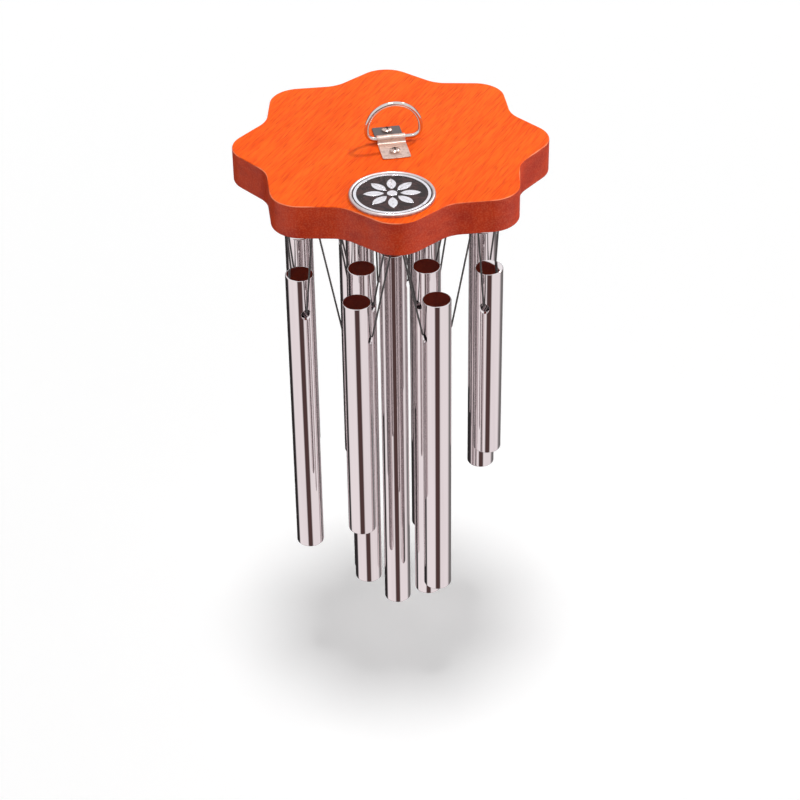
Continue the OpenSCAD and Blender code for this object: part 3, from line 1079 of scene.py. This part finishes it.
def cordPath(eyeX, meet, stubOut):
    # The route in the cord's own XZ plane, heights from the head's underside
    r = cord["width"] / 2
    eyeMean = (eye["inside"] + eye["wire"]) / 2
    eyeZ = -eye["neck"] - eyeMean - eye["wire"] / 2
    pivotZ = eyeZ - eyeMean + eye["wire"] / 2 + r + cord["rest"]
    cordZ = -cord["holeDrop"] + bar["holeRadius"] - r - cord["rest"]
    cordOut = bar["diameter"] / 2 + r + cord["turnRoom"] / 2
    topX = eyeX - (eye["wire"] / 2 + r + cord["turnRoom"]) / cos(radians(meet))
    steep = degrees(atan2(pivotZ - cordZ, topX - cordOut))
    bend, steps = cord["elbow"], cord["elbowSteps"]
    back = bend * tan(radians(steep / 2))
    half = linked([
        [(0, 0, cordZ)],
        arc((cordOut - back, 0, cordZ + bend), bend, -90, -90 + steep, steps),
        reversed(arc((topX + back, 0, pivotZ - bend), bend, 90, 90 + steep, steps)),
        [(stubOut, 0, pivotZ)],
    ])
    mirrored = [Vector((-p.x, p.y, p.z)) for p in reversed(half)]
    return linked([mirrored, half]), pivotZ


def layCord(path):
    points = evenSteps([Vector(p) for p in path], cord["step"])
    return sweep(points, cord["width"] / 2, cord["sides"], section=plySection)


def stopperKnot(x, z, side):
    # A coil round the cord's straight end
    turns, perTurn = cord["knotTurns"], cord["knotSteps"]
    out = cord["width"] * cord["knotPitch"]
    coil = []
    for k in range(turns * perTurn + 1):
        a = 2 * pi * k / perTurn
        shift = (k / (turns * perTurn) - 0.5) * out * (turns - 1)
        coil.append((side * (x + shift), cos(a) * out, z + sin(a) * out))
    core = [(side * (x + reach), 0, z) for reach in cord["knotCore"]]
    return [layCord(coil), layCord(core)]


def makeCord(node, turn, radiusOut, eyeX, meet, stubOut, material, knotX=None):
    path, pivotZ = cordPath(eyeX, meet, stubOut)
    parts = [layCord(path)]
    if knotX is not None:
        parts += stopperKnot(knotX, pivotZ, 1) + stopperKnot(knotX, pivotZ, -1)
    strand = joinParts(parts)[:2] + (None,)
    place = underHead @ rotation(turn) @ placed(0, -radiusOut * mm, 0)
    piece = makePiece("twisted_" + node, strand, material, bodyOf(node), place)
    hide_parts(node)


# The thirteen hanging units: eight outside, four inside and one in the centre
units = {
    "outer": (8, 50.0),    # how many, and the radius of their circle
    "inner": (4, 22.5),
    "centreEyeX": 10.0,
}


def makeUnits(blackCord):
    r = cord["width"] / 2
    for kind in ("outer", "inner"):
        count, radius = units[kind]
        meet = 180 / count
        eyeX = radius * tan(radians(meet))
        stub = eyeX - r * tan(radians(meet)) - cord["rest"]
        for i in range(1, count + 1):
            turn = (i - 0.5) * 360 / count
            makeBar(f"{kind}_bar_{i}", turn)
            makeCord(f"{kind}_cord_{i}", turn, radius, eyeX, meet, stub, blackCord)
    makeBar("centre_bar", 0)
    knotRadius = (eye["inside"] + cord["knotOver"]) / 2
    eyeX = units["centreEyeX"]
    knotX = eyeX + eye["wire"] / 2 + knotRadius + cord["rest"]
    makeCord("centre_cord", 0, 0, eyeX, 0, knotX - knotRadius, blackCord, knotX)
    print("bars and cords made")


makeUnits(cordMaterial())


# Studio: a pale floor, a key lamp from the right and behind, and a lamp straight overhead
studio = {
    "floorZ": -317.0,
    "floorSize": 8000.0,
    "floorColour": (0.95, 0.95, 0.95, 1.0),
    "floorGlow": 0.11,
    "keyLamp": ((0.74, 0.67, 1.08), 1.75, 3.0),    # where it shines from, strength, angle
    "overheadLamp": ((0, 0, 1), 1.45, 14.0),
    "ambientBelow": 0.03,
    "ambientLevel": 1.8,
    "ambientAbove": 0.05,
    "ambientRight": 1.9,     # how much brighter it is on the right
    "skyColour": (0.93, 0.93, 0.94, 1.0),
    # The upward parts of a direction between which the boards give way to the sky and the ambient
    # light rises and falls, and the rightward parts between which it grows
    "skyFade": (0.12, 0.35),
    "ambientRise": (-0.1, 0.12),
    "ambientFall": (0.25, 0.6),
    "ambientGrow": (0.1, 0.8),
}


def addSun(name, direction, strength, angle):
    data = bpy.data.lights.new(name, "SUN")
    data.energy = strength
    data.angle = radians(angle)
    lamp = addObject(name, data)
    lamp.rotation_euler = Vector(direction).to_track_quat("Z", "Y").to_euler()
    return lamp


def makeFloor():
    half, z = studio["floorSize"] / 2 * mm, studio["floorZ"] * mm
    mesh = bpy.data.meshes.new("floor")
    mesh.from_pydata([(-half, -half, z), (half, -half, z), (half, half, z), (-half, half, z)], [],
                     [(0, 1, 2, 3)])
    floor = addObject("floor", mesh)
    material, tree = newMaterial("pale floor")[:2]
    tree.nodes.clear()
    paint = addNode(tree, "BsdfDiffuse", {"Color": studio["floorColour"]})
    light = addNode(tree, "LightPath")
    seen = times(tree, light.outputs["Is Camera Ray"], studio["floorGlow"])
    glow = addNode(tree, "Emission", {"Strength": seen})
    both = addNode(tree, "AddShader", {0: paint.outputs[0], 1: glow.outputs[0]})
    addNode(tree, "OutputMaterial", {"Surface": both.outputs[0]})
    mesh.materials.append(material)
    floor.visible_diffuse = False
    floor.visible_glossy = False
    return floor


def keepOff(lamp, unlit):
    # The lamp lights everything but one object
    lit = bpy.data.collections.new(lamp.name + " lights")
    lit.objects.link(unlit)
    lit.collection_objects[0].light_linking.link_state = "EXCLUDE"
    lamp.light_linking.receiver_collection = lit


# What polished metal sees round the set: pale boards with a dark gap where the camera stands, and
# dark cloth behind. Each row is (degrees from the front towards the right, red, green, blue).
surroundings = [
    (-180, 0.03, 0.027, 0.028),
    (-110, 0.03, 0.027, 0.028),
    (-98, 0.90, 0.85, 0.86),
    (-24, 0.90, 0.85, 0.86),
    (-15, 0.085, 0.048, 0.046),
    (15, 0.085, 0.048, 0.046),
    (24, 0.87, 0.82, 0.83),
    (92, 0.87, 0.82, 0.83),
    (112, 0.20, 0.19, 0.19),
    (180, 0.14, 0.13, 0.13),
]


def makeWorld():
    world = bpy.data.worlds.new("studio")
    bpy.context.scene.world = world
    world.use_nodes = True
    tree = world.node_tree
    tree.nodes.clear()
    way = split(tree, addNode(tree, "TexCoord").outputs["Generated"])
    turn = maths(tree, "ARCTAN2", way["X"], times(tree, way["Y"], -1.0))
    ramp = addNode(tree, "ValToRGB", {"Fac": rescale(tree, turn, -pi, pi, kind="LINEAR")})
    stops = ramp.color_ramp.elements
    for k, (toRight, r, g, b) in enumerate(surroundings):
        position = (toRight + 180) / 360
        stop = stops[k] if k < 2 else stops.new(position)
        stop.position = position
        stop.color = (r, g, b, 1)
    above = rescale(tree, way["Z"], *studio["skyFade"])
    seen = mixColours(tree, above, ramp.outputs["Color"], studio["skyColour"])
    level = studio["ambientLevel"]
    rise = rescale(tree, way["Z"], *studio["ambientRise"], studio["ambientBelow"], level)
    fall = rescale(tree, way["Z"], *studio["ambientFall"], 1, studio["ambientAbove"] / level)
    right = rescale(tree, way["X"], *studio["ambientGrow"], 1, studio["ambientRight"])
    lift = times(tree, times(tree, rise, fall), right)
    soft = addNode(tree, "CombineColor", {0: lift, 1: lift, 2: lift})
    path = addNode(tree, "LightPath")
    colour = mixColours(tree, path.outputs["Is Glossy Ray"], soft.outputs[0], seen)
    colour = mixColours(tree, path.outputs["Is Camera Ray"], colour, (1, 1, 1, 1))
    sky = addNode(tree, "Background", {"Color": colour})
    addNode(tree, "OutputWorld", {"Surface": sky.outputs[0]})


keyLamp = addSun("key lamp", *studio["keyLamp"])
addSun("overhead lamp", *studio["overheadLamp"])
keepOff(keyLamp, makeFloor())
makeWorld()
bpy.context.scene.view_settings.view_transform = "Standard"
print("studio made")
